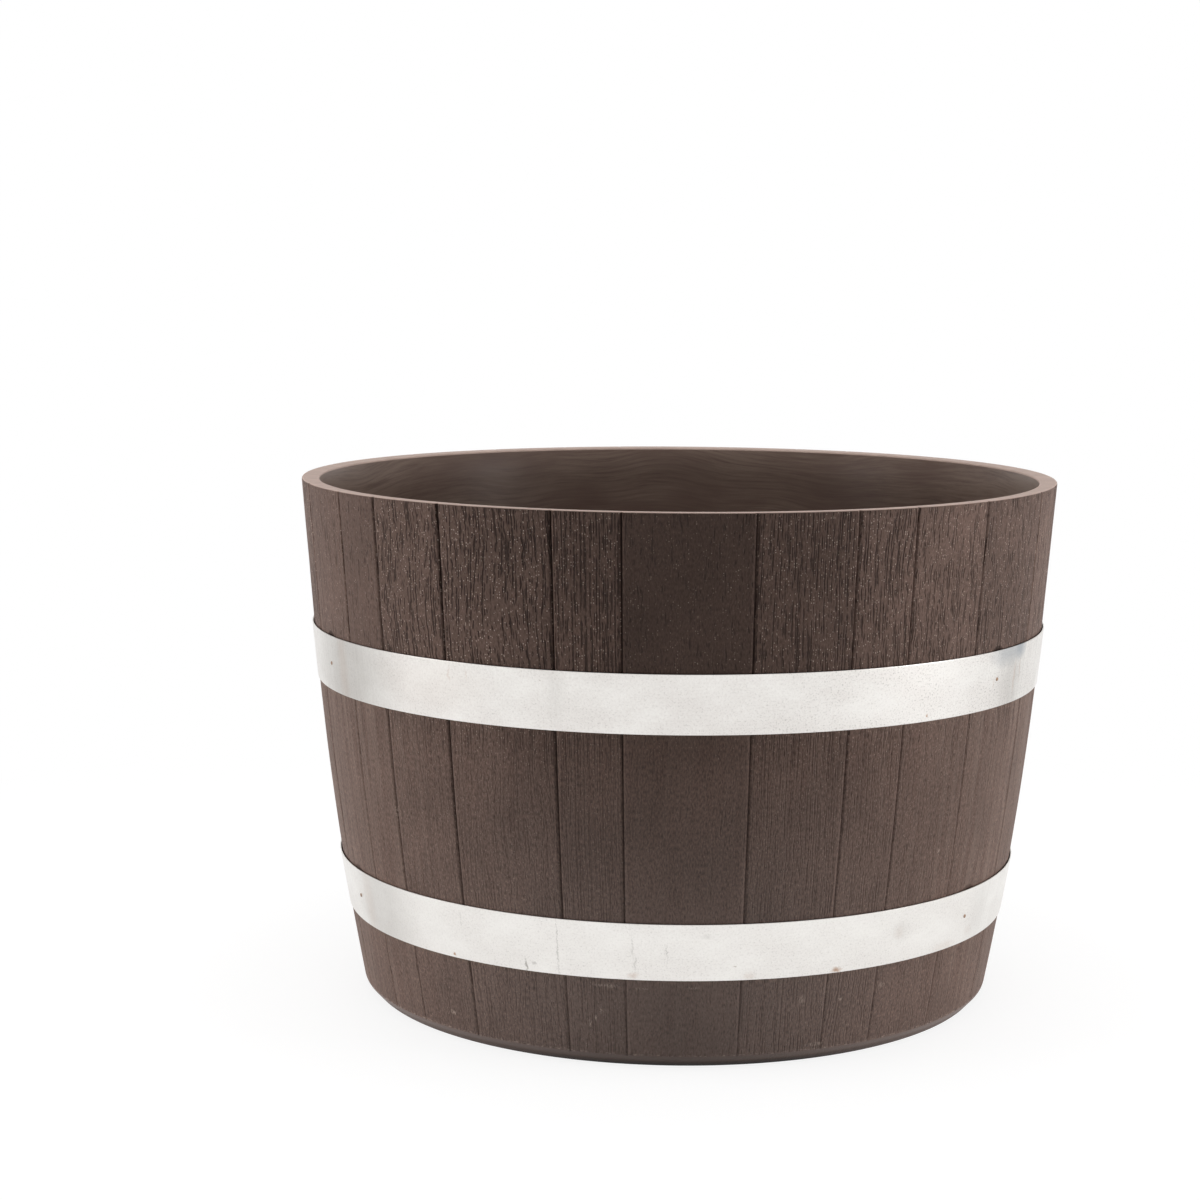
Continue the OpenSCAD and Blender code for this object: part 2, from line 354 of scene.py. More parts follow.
def wall_rows(shape, hoops):
    """The heights of the outside's rows: close above the hoops, wide behind them."""
    s = shape.s
    start = s.bevel_h + WALL_START
    rows = [start]
    stretches = []
    for hoop in sorted(hoops, key=lambda h: h.z):
        hidden = hoop.high.y - CLOSE_ROW
        above = hoop.high.y + (CLOSE_ROWS - 1) * CLOSE_ROW
        stretches += [(start, hoop.low.y, WALL_PITCH),
                      (hoop.low.y, hidden, HIDDEN_PITCH),
                      (hidden, above, CLOSE_ROW)]
        start = above
    stretches.append((start, s.height - s.rim_round - WALL_STOP, WALL_PITCH))
    for low, high, pitch in stretches:
        count = max(1, round((high - low) / pitch))
        rows += [low + (high - low) * (i + 1) / count for i in range(count)]
    return rows


def outside_section(bm, shape):
    """Foot, bevel, wall and the outer edge of the rim. Gives the radii where it starts and ends."""
    s = shape.s
    rim_flat = s.rim_r - s.rim_round - SUPPORT
    foot_flat = shape.foot_r - FOOT_ROUND - SUPPORT
    foot, bevel, rim = (shape.foot_r, 0), (shape.bevel_r, s.bevel_h), (s.rim_r, s.height)
    outline(bm, [(foot_flat, 0), foot, bevel, rim, (rim_flat, s.height)])
    round_corner(bm, foot, FOOT_ROUND, 3)
    round_corner(bm, bevel, BEVEL_ROUND, 2)
    round_corner(bm, rim, s.rim_round, 3)
    return foot_flat, rim_flat


def inside_section(bm, shape):
    """Inner edge of the rim, wall, floor, drain hole and the hollow inside the foot ring.

    Gives the radii where it ends and starts. Points beside the roundings keep the flats flat.
    """
    s = shape.s
    rim_in = s.rim_r - s.wall / math.cos(s.lean)
    foot_in = shape.foot_r - s.foot_w
    rim_flat, foot_flat = rim_in + s.rim_round + SUPPORT, foot_in + FOOT_ROUND + SUPPORT
    rim, corner = (rim_in, s.height), (shape.inside(shape.floor_z), shape.floor_z)
    hole_top, hole_bottom = (s.drain_r, shape.floor_z), (s.drain_r, s.foot_h)
    hollow, foot = (foot_in, s.foot_h), (foot_in, 0)
    by_corner = corner[0] - s.corner_r - SUPPORT
    by_hole = s.drain_r + HOLE_ROUND + SUPPORT
    by_hollow = foot_in - HOLLOW_ROUND - SUPPORT
    outline(bm, [(rim_flat, s.height), rim, corner, (by_corner, shape.floor_z),
                 (by_hole, shape.floor_z), hole_top, hole_bottom, (by_hole, s.foot_h),
                 (by_hollow, s.foot_h), hollow, foot, (foot_flat, 0)])
    round_corner(bm, rim, s.rim_round, 3)
    round_corner(bm, corner, s.corner_r, 6)
    round_corner(bm, hole_top, HOLE_ROUND, 3)
    round_corner(bm, hole_bottom, FOOT_ROUND, 2)
    round_corner(bm, hollow, HOLLOW_ROUND, 3)
    round_corner(bm, foot, FOOT_ROUND, 2)
    return foot_flat, rim_flat


def spin_all(bm, steps):
    """Turns a half section into a full round, with its start and end merged."""
    bmesh.ops.spin(bm, geom=bm.verts[:] + bm.edges[:], cent=(0, 0, 0), axis=(0, 0, 1),
                   dvec=(0, 0, 0), angle=TURN, steps=steps, use_merge=True, use_duplicate=False)


def ring(bm, r, z):
    """The edges that lie on the circle of that radius and height."""
    def on_it(v):
        return math.hypot(v.co.z - z, math.hypot(v.co.x, v.co.y) - r) < MM / 50
    return [e for e in bm.edges if on_it(e.verts[0]) and on_it(e.verts[1])]


def stave_relief(across, z, number):
    """How deep the coarse grain lies at a place on a stave, from 0 on its ridges to 1."""
    slant, wave, pebble = STAVE_FIGURES.get(number, PLAIN_FIGURE)[:3]
    u, v = across / MM, z / MM
    u += slant * v + wave * 5 * noise.noise((u / 40, v / 70, number))
    seed = number * 7.3
    ridges = noise.noise((u / 2.2, v / 40, seed)) + 0.5 * noise.noise((u / 4.5, v / 70, seed + 40))
    lumps = noise.noise((u / 5, v / 9, seed + 80))
    return min(1.0, max(0.0, 0.5 + 0.6 * ridges + 0.2 * pebble * lumps))


def joint_profile(from_joint):
    """How deep a joint is at a distance from its middle, from 1 there to 0 past its round lips."""
    return max(0.0, 1 - from_joint / (JOINT_STEPS[-1] * MM)) ** 1.8


def shape_wall(bm, shape, hoops, joints):
    """Sinks the joints, the coarse grain and the dimples over the brads into the wall."""
    s, pins = shape.s, bpy.context.scene.planter_pins
    ball_r = ((pins.dimple_d / 2) ** 2 + pins.dimple_depth ** 2) / (2 * pins.dimple_depth)
    drop = pins.dimple_show - pins.dimple_d / 2
    dimples = [(pins.first_brad + TURN * i / BRADS, hoop.high.y + drop)
               for hoop in hoops for i in range(BRADS)]
    # this layer holds where the joints and dimples get painted shade
    shade = bm.verts.layers.float.new("joint")
    for v in bm.verts:
        z, r = v.co.z, math.hypot(v.co.x, v.co.y)
        if z < s.bevel_h + GRAIN_START or r < shape.outside(z) - SUNK:
            continue
        number, angle = stave_at(math.atan2(v.co.x, -v.co.y), joints)
        start, stop = joints[number], joints[number + 1]
        from_joint = min(angle - start, stop - angle) * r
        nearest = number + (stop - angle < angle - start)
        share = JOINT_SHARES[nearest] if nearest < len(JOINT_SHARES) else PLAIN_JOINT
        v[shade] = joint_profile(from_joint) * share
        joint = s.joint_depth * (JOINT_LOW + (1 - JOINT_LOW) * z / s.height) * v[shade]
        fade = min(GRAIN_FADE, s.height - z, from_joint, (z - s.bevel_h) / 2) / GRAIN_FADE
        fade *= GRAIN_LOW + (1 - GRAIN_LOW) * z / s.height
        grain = s.relief * fade * stave_relief((angle - (start + stop) / 2) * r, z, number)
        depth = max(joint, grain)
        for around, up in dimples:
            turn = (angle - around + math.pi) % TURN - math.pi
            away = math.hypot(turn * r, z - up)
            if away < pins.dimple_d / 2:
                sunk = math.sqrt(ball_r ** 2 - away ** 2) - (ball_r - pins.dimple_depth)
                depth = max(depth, sunk)
                edge = DIMPLE_EDGE * sunk / pins.dimple_depth
                # a dimple gets painted shade, from its edge inwards
                v[shade] = max(v[shade], min(DIMPLE_SHADE, edge))
        v.co.x *= (r - depth) / r
        v.co.y *= (r - depth) / r


def paint_shell(bm, shape, joints):
    """Gives each face its material, its map in metres and, on the staves, its figure."""
    s = shape.s
    uv = bm.loops.layers.uv.new("flow")
    layers = [bm.faces.layers.float.new(name) for name in ("seed", *FIGURE)]
    for face in bm.faces:
        middle = face.calc_center_median()
        r, z = math.hypot(middle.x, middle.y), middle.z
        number, angle = stave_at(math.atan2(middle.x, -middle.y), joints)
        on_outside = r > shape.outside(max(z, 0)) - SUNK
        on_rim = z > s.height - 1.6 * s.rim_round
        on_foot = r > shape.foot_r - s.foot_w - 1 * MM and z < shape.floor_z / 2
        centre = 0.0
        if on_outside and s.bevel_h + GRAIN_START < z < s.height - s.rim_round / 2:
            face.material_index = GRAINED
            centre = (joints[number] + joints[number + 1]) / 2
            for layer, value in zip(layers, (number, *STAVE_FIGURES.get(number, PLAIN_FIGURE))):
                face[layer] = value
        elif on_rim or on_foot:
            face.material_index = SMOOTH
        else:
            face.material_index = SWIRLED
        flat = abs(face.normal.z) > 0.7
        for loop in face.loops:
            co = loop.vert.co
            around = math.atan2(co.x, -co.y)
            around = angle + (around - angle + math.pi) % TURN - math.pi
            if flat:
                loop[uv].uv = (co.x, co.y)
            else:
                loop[uv].uv = ((around - centre) * r, co.z)


def turn_outside(bm, shape, hoops, columns):
    """The outside, in rows and at the angles of the columns. Gives the radii where it starts and ends."""
    foot_flat, rim_flat = outside_section(bm, shape)
    spin_all(bm, len(columns))
    cut_wall(bm, wall_rows(shape, hoops), shape.outside)
    for v in bm.verts:
        step = round(math.atan2(v.co.y, v.co.x) / TURN * len(columns)) % len(columns)
        v.co = at(columns[step], math.hypot(v.co.x, v.co.y), v.co.z)
    return foot_flat, rim_flat


def turn_inside(bm, shape):
    """Adds the inside in even columns and rows. Gives the radii where it ends and starts."""
    inner = bmesh.new()
    foot_flat, rim_flat = inside_section(inner, shape)
    spin_all(inner, INSIDE_COLUMNS)
    low, high = shape.floor_z + shape.s.corner_r, shape.s.height - shape.s.rim_round
    rows = [low + (high - low) * i / INSIDE_ROWS for i in range(1, INSIDE_ROWS)]
    cut_wall(inner, rows, shape.inside)
    scratch = bpy.data.meshes.new("inside")
    inner.to_mesh(scratch)
    inner.free()
    bm.from_mesh(scratch)
    bpy.data.meshes.remove(scratch)
    return foot_flat, rim_flat


class PLANTER_OT_shell(bpy.types.Operator):
    """Build the moulded shell with its joints, grain and dimples"""
    bl_idname = "planter.build_shell"
    bl_label = "Moulded Shell"

    def execute(self, context):
        shape = Shape(context.scene.planter_shell)
        hoops = [HoopShape(name, shape, context.scene.planter_hoops) for name in HOOPS]
        joints = joint_angles()
        bm = bmesh.new()
        foot_out, rim_out = turn_outside(bm, shape, hoops, stave_columns(joints, shape.s.rim_r))
        foot_in, rim_in = turn_inside(bm, shape)
        # flat rings close the foot and the rim, which then falls towards its inner edge
        for z, inner_r, outer_r in ((shape.s.height, rim_in, rim_out), (0, foot_in, foot_out)):
            edges = ring(bm, inner_r, z) + ring(bm, outer_r, z)
            bmesh.ops.triangle_fill(bm, edges=edges, use_beauty=True, normal=(0, 0, 1))
        for v in bm.verts:
            r = math.hypot(v.co.x, v.co.y)
            if v.co.z > shape.s.height - 1.1 * shape.s.rim_round:
                v.co.z -= RIM_FALL * min(1.0, max(0.0, (rim_out - r) / (rim_out - rim_in)))
        shape_wall(bm, shape, hoops, joints)
        bmesh.ops.recalc_face_normals(bm, faces=bm.faces)
        bm.normal_update()
        paint_shell(bm, shape, joints)
        materials = [grained_foam(), smooth_foam(), swirled_foam()]
        finish_mesh(bm, "moulded_shell", materials, ["planter_shell"])
        return {"FINISHED"}


# The hoops

HOOP_STEPS = 720
ROWS_ACROSS = 8
STRIP_EDGE = 0.2 * MM        # rounding of the sheared edges
END_CORNER = 2 * MM          # rounding of the corners at the strip's ends
WAVE = 0.22 * MM             # how far the upper edge waves out between the brads
SWAY, BUCKLE = 90 * MM, 28 * MM    # the lengths of its long and of its short waves
FREE = 60 * MM               # from the lap, which holds the strip, to where it waves fully


def straight_strip(length, h):
    """The flat strip as sheared, length along X, thickness along Y and width along Z."""
    bm = bmesh.new()
    size = Matrix.Diagonal((length, h.thickness, h.width, 1))
    middle = Matrix.Translation((length / 2, h.thickness / 2, 0))
    bmesh.ops.create_cube(bm, size=1, matrix=middle @ size)
    corners = [e for e in bm.edges if abs(e.verts[0].co.y - e.verts[1].co.y) > h.thickness / 2]
    bmesh.ops.bevel(bm, geom=corners, offset=END_CORNER, offset_type="OFFSET", segments=3,
                    profile=0.5, affect="EDGES", material=-1)
    sheared = [e for e in bm.edges if abs(e.verts[0].co.y - e.verts[1].co.y) < h.thickness / 2]
    bmesh.ops.bevel(bm, geom=sheared, offset=STRIP_EDGE, offset_type="OFFSET", segments=2,
                    profile=0.5, affect="EDGES", material=-1)
    beside = h.width / 2 - STRIP_EDGE - SUPPORT
    rows = [beside * (2 * i / ROWS_ACROSS - 1) for i in range(ROWS_ACROSS + 1)]
    cuts = [((0, 0, z), (0, 0, 1)) for z in rows]
    cuts += [((x, 0, 0), (1, 0, 0)) for x in (2 * END_CORNER, length - 2 * END_CORNER)]
    for place, square in cuts:
        bmesh.ops.bisect_plane(bm, geom=bm.verts[:] + bm.edges[:] + bm.faces[:],
                               plane_co=place, plane_no=square)
    runs = [e for e in bm.edges if abs(e.verts[0].co.x - e.verts[1].co.x) > length / 2]
    bmesh.ops.subdivide_edges(bm, edges=runs, cuts=HOOP_STEPS, use_grid_fill=True)
    return bm


def roll_strip(bm, hoop, h, seed):
    """Rolls the strip round the shell, its outer end cranked out over its inner end."""
    turn = TURN * hoop.mid_r
    start = h.lap_at - h.lap_len / 2 / hoop.mid_r
    uv = bm.loops.layers.uv.new("flow")
    for face in bm.faces:
        for loop in face.loops:
            loop[uv].uv = (loop.vert.co.x, loop.vert.co.z)
    for v in bm.verts:
        along, deep, across = v.co
        up = across / h.width + 0.5
        climb = min(1.0, max(0.0, (along - turn + h.crank_len) / h.crank_len))
        climb *= climb * (3 - 2 * climb)
        free = max(0.0, min(FREE, along - h.lap_len, turn - h.crank_len - along)) / FREE
        sway = noise.noise((along / SWAY, up * 1.5, seed)) * WAVE
        buckle = noise.noise((along / BUCKLE, up * 2, seed + 9)) * WAVE / 4
        place = hoop.low.lerp(hoop.high, up)
        place += hoop.out * (deep + climb * h.thickness + (WAVE / 2 + sway + buckle) * up * free)
        v.co = at(start + along / hoop.mid_r, place.x, place.y)


class PLANTER_OT_hoops(bpy.types.Operator):
    """Roll the two galvanised hoops round the shell"""
    bl_idname = "planter.build_hoops"
    bl_label = "Galvanised Hoops"

    def execute(self, context):
        shape = Shape(context.scene.planter_shell)
        h = context.scene.planter_hoops
        for number, name in enumerate(HOOPS):
            hoop = HoopShape(name, shape, h)
            bm = straight_strip(TURN * hoop.mid_r + h.lap_len, h)
            roll_strip(bm, hoop, h, 20 * number)
            material = galvanised_strip(name, hoop, h)
            finish_mesh(bm, name + "_strip", [material], [name + "_hoop"])
        return {"FINISHED"}


# Brads and rivets

BRAD_SIDES = 32
RIVET_SIDES = 64


def pin_frame(angle, hoop):
    """Puts a pin's own Z square out through the strip, half way up the hoop."""
    return (Matrix.Translation(at(angle, hoop.mid_r, hoop.z))
            @ Matrix.Rotation(angle - math.pi / 2, 4, "Z")
            @ Matrix.Rotation(math.pi / 2 + hoop.lean, 4, "Y"))


def turned_pin(points, roundings, sides):
    """A pin turned from its half section. Roundings maps a point's number to its rounding."""
    bm = bmesh.new()
    outline(bm, points)
    for number, radius in roundings.items():
        round_corner(bm, points[number], radius, 3)
    spin_all(bm, sides)
    bmesh.ops.remove_doubles(bm, verts=bm.verts, dist=MM / 1000)
    return bm


class PLANTER_OT_brads(bpy.types.Operator):
    """Drive the brads that pin the hoops to the shell"""
    bl_idname = "planter.build_brads"
    bl_label = "Brads"

    def execute(self, context):
        shape = Shape(context.scene.planter_shell)
        h, p = context.scene.planter_hoops, context.scene.planter_pins
        shank, head = p.brad_d / 2, p.brad_head_d / 2
        top = h.thickness + p.brad_head_h
        material = brad_steel()
        for name in HOOPS:
            hoop = HoopShape(name, shape, h)
            point = shape.outside(hoop.z) - hoop.mid_r - p.brad_bite
            section = [(0, point), (shank, point + p.brad_d), (shank, h.thickness),
                       (head, h.thickness), (head * 0.9, top - p.brad_head_h / 3),
                       (head * 0.5, top), (0, top)]
            for i in range(BRADS):
                bm = turned_pin(section, {3: 0.1 * MM, 4: 0.2 * MM, 5: 0.15 * MM}, BRAD_SIDES)
                bm.transform(pin_frame(p.first_brad + TURN * i / BRADS, hoop))
                node = f"{name}_brad_{i + 1}"
                finish_mesh(bm, "driven_" + node, [material], [node])
        return {"FINISHED"}


class PLANTER_OT_rivets(bpy.types.Operator):
    """Close the laps of the hoops with rivets"""
    bl_idname = "planter.build_rivets"
    bl_label = "Rivets"

    def execute(self, context):
        shape = Shape(context.scene.planter_shell)
        h, p = context.scene.planter_hoops, context.scene.planter_pins
        shank, head = p.rivet_d / 2, p.rivet_head_d / 2
        base = 2 * h.thickness
        top = base + p.rivet_head_h
        dint = top - 0.15 * MM
        section = [(0, 0), (shank, 0), (shank, base), (head, base),
                   (head * 0.93, base + p.rivet_head_h / 2), (head * 0.55, top),
                   (head * 0.38, top), (head * 0.3, dint), (0, dint)]
        roundings = {3: 0.2 * MM, 4: 0.6 * MM, 5: 0.5 * MM, 6: 0.08 * MM}
        material = rivet_zinc()
        for name in HOOPS:
            hoop = HoopShape(name, shape, h)
            for i in range(RIVETS):
                bm = turned_pin(section, roundings, RIVET_SIDES)
                turn = (i - (RIVETS - 1) / 2) * p.rivet_pitch / hoop.mid_r
                bm.transform(pin_frame(h.lap_at + turn, hoop))
                node = f"{name}_rivet_{i + 1}"
                finish_mesh(bm, "closed_" + node, [material], [node])
        return {"FINISHED"}


# Materials


def join(node, inputs):
    """Sets a shader node's sockets to values, or links them to sockets or to other nodes."""
    for key, value in inputs.items():
        if isinstance(value, bpy.types.Node):
            value = value.outputs[0]
        if isinstance(value, bpy.types.NodeSocket):
            node.id_data.links.new(value, node.inputs[key])
        else:
            node.inputs[key].default_value = value


def add_node(tree, kind, inputs=None, **settings):
    """Adds a shader node with its settings, and joins its inputs."""
    node = tree.nodes.new("ShaderNode" + kind)
    for key, value in settings.items():
        setattr(node, key, value)
    join(node, inputs or {})
    return node


def new_material(name):
    """A new material, its shader, a function that adds nodes to it, and the planter's colours."""
    material = bpy.data.materials.new(name)
    material.use_nodes = True
    tree = material.node_tree
    add = functools.partial(add_node, tree)
    return material, tree.nodes["Principled BSDF"], add, bpy.context.scene.planter_colours


def blotches(add, u, v, seed, width, length, detail=2.0):
    """Noise from 0 to 1 whose blotches are that many millimetres wide and long."""
    spot = add("CombineXYZ", {
        0: add("Math", {0: u, 1: 1 / width}, operation="MULTIPLY"),
        1: add("Math", {0: v, 1: 1 / length}, operation="MULTIPLY"),
        2: seed})
    return add("TexNoise", {"Vector": spot, "Scale": 1.0, "Detail": detail, "Roughness": 0.55})


def strayed(add, spot, size, reach, detail, rough=0.5):
    """A spot moved aside by noise of that size, by up to half the reach."""
    away = add("TexNoise", {"Vector": spot, "Scale": 1 / size, "Detail": detail, "Roughness": rough})
    away = add("VectorMath", {0: away.outputs["Color"], 1: (0.5, 0.5, 0.5)}, operation="SUBTRACT")
    away = add("VectorMath", {0: away, "Scale": reach}, operation="SCALE")
    return add("VectorMath", {0: spot, 1: away}, operation="ADD")


def mark(add, spot, where, size, share):
    """How strong a soft mark is at a spot, up to its share. Size is half its width and height."""
    away = add("VectorMath", {0: spot, 1: where}, operation="SUBTRACT")
    away = add("VectorMath", {0: away, 1: (1 / size[0], 1 / size[1], 0)}, operation="MULTIPLY")
    away = add("VectorMath", {0: away}, operation="LENGTH").outputs["Value"]
    return add("MapRange", {0: away, 1: 0.3, 2: 1.1, 3: share, 4: 0.0})


def pore_strokes(add, u, v, seed, dense):
    """Upright strokes 2 to 3 mm apart, long and short ones, each broken off at its own heights.

    Real pores are finer, but these are as coarse as it takes for each one to show.
    """
    pores = 0.0
    for pitch, length, extra in ((2.5, 20, 0.02), (1.9, 7, 0.0)):
        place = add("Math", {0: u, 1: 1 / pitch, 2: seed}, operation="MULTIPLY_ADD")
        line = add("TexVoronoi", {"W": place, "Scale": 1.0, "Randomness": 0.8}, voronoi_dimensions="1D")
        which = add("SeparateColor", {0: line.outputs["Color"]})
        which = add("Math", {0: which, 1: 500.0}, operation="MULTIPLY")
        run = blotches(add, which, v, seed, 1.0, length, 1.0)
        level = add("MapRange", {0: dense, 3: 0.60, 4: 0.44 - extra})
        full = add("Math", {0: level, 1: 0.1}, operation="ADD")
        drawn = add("MapRange", {0: run, 1: level, 2: full})
        thin = add("MapRange", {0: line.outputs["Distance"], 1: 0.08, 2: 0.24, 3: 1.0, 4: 0.0})
        drawn = add("Math", {0: drawn, 1: thin}, operation="MULTIPLY")
        pores = add("Math", {0: pores, 1: drawn}, operation="MAXIMUM")
    return pores


# Pale scuffs on the staves: the angle in degrees, then the height, half the width and half the
# height in millimetres, and the share
SCUFFS = (
    (-10.5, 55, 10, 1.3, 0.35), (-5, 54, 5, 1.0, 0.25), (-12.5, 33, 0.8, 4, 0.45),
    (-11.6, 38, 0.7, 3, 0.45), (-13.5, 29, 1.2, 2.5, 0.35), (3, 55, 6, 0.8, 0.2),
    (21, 44, 2.5, 4, 0.2), (28, 42, 1.5, 2, 0.4), (36, 46, 3, 2, 0.25), (-40, 20, 4, 2, 0.3),
    (24, 12, 9, 1.2, 0.3), (-28, 58, 0.8, 0.8, 0.6), (45, 130, 1, 3, 0.3), (-48, 150, 1.5, 6, 0.2),
)
SCUFF_R = 230 * MM      # the radius at which an angle is turned into millimetres


def scuffs(add, x, y, height):
    """How strong the scuffs are, which lie in millimetres round the front and up."""
    back = add("Math", {0: y, 1: -1.0}, operation="MULTIPLY")
    around = add("Math", {0: x, 1: back}, operation="ARCTAN2")
    spot = add("CombineXYZ", {0: add("Math", {0: around, 1: SCUFF_R / MM}, operation="MULTIPLY"),
                              1: add("Math", {0: height, 1: 1 / MM}, operation="MULTIPLY")})
    spot = strayed(add, spot, 1.2, 3.0, 2.0)
    scuffed = 0.0
    for angle, up, half_w, half_h, share in SCUFFS:
        place = (math.radians(angle) * SCUFF_R / MM, up, 0)
        share = mark(add, spot, place, (half_w, half_h), share)
        scuffed = add("Math", {0: scuffed, 1: share}, operation="MAXIMUM")
    return scuffed


WORN_TO = 190 * MM      # the moulded grain is worn up to this height
SHARP_FROM = 262 * MM   # and sharp from this one on, above the upper hoop


def grained_foam():
    """Structural foam, moulded in a tool with an etched wood grain.

    Matt and dark. The pores are darker and the rubbed ridges paler, and small spots of the skin
    are glossy and carry painted glints. The grain is sharpest above the upper hoop.
    """
    material, shader, add, c = new_material("Structural foam, moulded wood grain")
    flow = add("VectorMath", {0: add("UVMap", uv_map="flow"), "Scale": 1 / MM}, operation="SCALE")
    u, v = add("SeparateXYZ", {0: flow}).outputs[:2]
    x, y, height = add("SeparateXYZ", {0: add("TexCoord").outputs["Object"]}).outputs
    sideways = add("Math", {0: x}, operation="ABSOLUTE")
    seed, slant, wave, pebble, cover, depth, tone = (
        add("Attribute", attribute_name=name).outputs["Fac"] for name in ("seed", *FIGURE))

    # pores stand upright, wandering a little, and lie in bands that bend like growth rings
    bend = add("Math", {0: blotches(add, u, v, seed, 60, 90, 1.0), 1: 0.5}, operation="SUBTRACT")
    bend = add("Math", {0: bend, 1: wave}, operation="MULTIPLY")
    growth = add("Math", {0: v, 1: slant, 2: u}, operation="MULTIPLY_ADD")
    growth = add("Math", {0: bend, 1: 60.0, 2: growth}, operation="MULTIPLY_ADD")
    u = add("Math", {0: bend, 1: 9.0, 2: u}, operation="MULTIPLY_ADD")
    wander = add("Math", {0: blotches(add, u, v, seed, 3, 7, 1.0), 1: 0.5}, operation="SUBTRACT")
    wander = add("Math", {0: wander, 1: pebble}, operation="MULTIPLY")
    u = add("Math", {0: wander, 1: 5.0, 2: u}, operation="MULTIPLY_ADD")
    bands = blotches(add, growth, v, seed, 8, 80, 1.0)
    bands = add("MapRange", {0: bands, 1: 0.35, 2: 0.6, 3: -0.4, 4: 0.2})
    dense = add("Math", {0: cover, 1: bands}, operation="ADD")
    pores = pore_strokes(add, u, v, seed, dense)
    relief = add("Math", {0: 1.0, 1: pores}, operation="SUBTRACT")
    fine = blotches(add, u, v, seed, 0.9, 2.6, 1.0)
    sharp = add("MapRange", {0: height, 1: WORN_TO, 2: SHARP_FROM, 3: 0.3, 4: depth})
    pores = add("Math", {0: pores, 1: sharp}, operation="MULTIPLY")
    pored = add("Math", {0: pores, 1: 0.72}, operation="MULTIPLY")

    # the stave's shade: cloudy and speckled, toned above the upper hoop partly as painted shade,
    # and paler near the ground as painted light from the floor
    cloud = blotches(add, u, v, seed, 50, 60)
    cloud = add("MapRange", {0: cloud, 1: 0.3, 2: 0.7, 3: 0.88, 4: 1.12})
    # the tone above the upper hoop is partly the stave's own and partly painted shade
    top_tone_and_shade = add("MapRange", {0: height, 1: WORN_TO, 2: SHARP_FROM, 3: 1.0, 4: tone})
    # paler near the ground: painted light, as bounced from the floor
    low = add("MapRange", {0: height, 1: 20 * MM, 2: 150 * MM, 3: 1.1, 4: 1.0})
    contrast = add("MapRange", {0: height, 1: WORN_TO, 2: SHARP_FROM, 3: 1.8, 4: 1.2})
    speckled = add("Math", {0: fine, 1: 0.5}, operation="SUBTRACT")
    speckled = add("Math", {0: speckled, 1: contrast, 2: 1.0}, operation="MULTIPLY_ADD")
    for share in (top_tone_and_shade, low, speckled):
        cloud = add("Math", {0: cloud, 1: share}, operation="MULTIPLY")
    colour = add("VectorMath", {0: tuple(c.stave)[:3], "Scale": cloud}, operation="SCALE")
    # towards the sides it is a little darker, a painted shade, under long soft smears of dust
    aside = add("MapRange", {0: sideways, 1: 140 * MM, 2: 215 * MM, 3: 0.03, 4: 0.1})
    # painted shade towards the sides
    darker = add("MapRange", {0: aside, 1: 0.03, 2: 0.1, 3: 1.0, 4: 0.96})
    colour = add("VectorMath", {0: colour, "Scale": darker}, operation="SCALE")
    smears = add("MapRange", {0: blotches(add, u, v, seed, 5, 150), 1: 0.40, 2: 0.68})
    smears = add("Math", {0: smears, 1: aside}, operation="MULTIPLY")
    below = add("MapRange", {0: height, 1: 225 * MM, 2: SHARP_FROM, 3: 1.0, 4: 0.15})
    smears = add("Math", {0: smears, 1: below}, operation="MULTIPLY")
    # a pale veil lies low on the front and the back, a film of dust and painted sheen
    veil_share = add("MapRange", {0: sideways, 1: 60 * MM, 2: 190 * MM, 3: 0.055, 4: 0.0})
    below = add("MapRange", {0: height, 1: 50 * MM, 2: 210 * MM, 3: 1.0, 4: 0.0})
    veil_share = add("Math", {0: veil_share, 1: below}, operation="MULTIPLY")

    # small glossy spots of skin, under 1 mm wide, on the ridges of the sharp grain, with painted glints
    spot = add("VectorMath", {0: flow, 1: (1 / 1.5, 1 / 2.2, 0)}, operation="MULTIPLY")
    cell = add("TexVoronoi", {"Vector": spot, "Scale": 1.0}, voronoi_dimensions="2D")
    dots = add("MapRange", {0: cell.outputs["Distance"], 1: 0.08, 2: 0.25, 3: 1.0, 4: 0.0})
    ridges = add("Math", {0: sharp, 1: relief}, operation="MULTIPLY")
    picked = add("SeparateColor", {0: cell.outputs["Color"]})
    picked = add("MapRange", {0: picked, 1: 0.6, 2: 0.9})
    flecked = blotches(add, u, v, seed, 5, 9)
    flecked = add("Math", {0: cover, 1: 0.35, 2: flecked}, operation="MULTIPLY_ADD")
    flecked = add("MapRange", {0: flecked, 1: 0.5, 2: 0.75, 3: 0.1})
    for share in (ridges, picked, flecked):
        dots = add("Math", {0: dots, 1: share}, operation="MULTIPLY")
    painted_glints = add("Math", {0: dots, 1: 0.85}, operation="MULTIPLY")
    # the joints and dimples get painted shade and dirt, and less of it towards the ground
    joint = add("Attribute", attribute_name="joint").outputs["Fac"]
    joint = add("MapRange", {0: joint, 1: 0.45, 2: 0.95})
    shade_and_dirt = add("MapRange", {0: height, 1: 60 * MM, 2: 200 * MM, 3: 0.15, 4: 0.9})
    shade_and_dirt = add("Math", {0: joint, 1: shade_and_dirt}, operation="MULTIPLY")
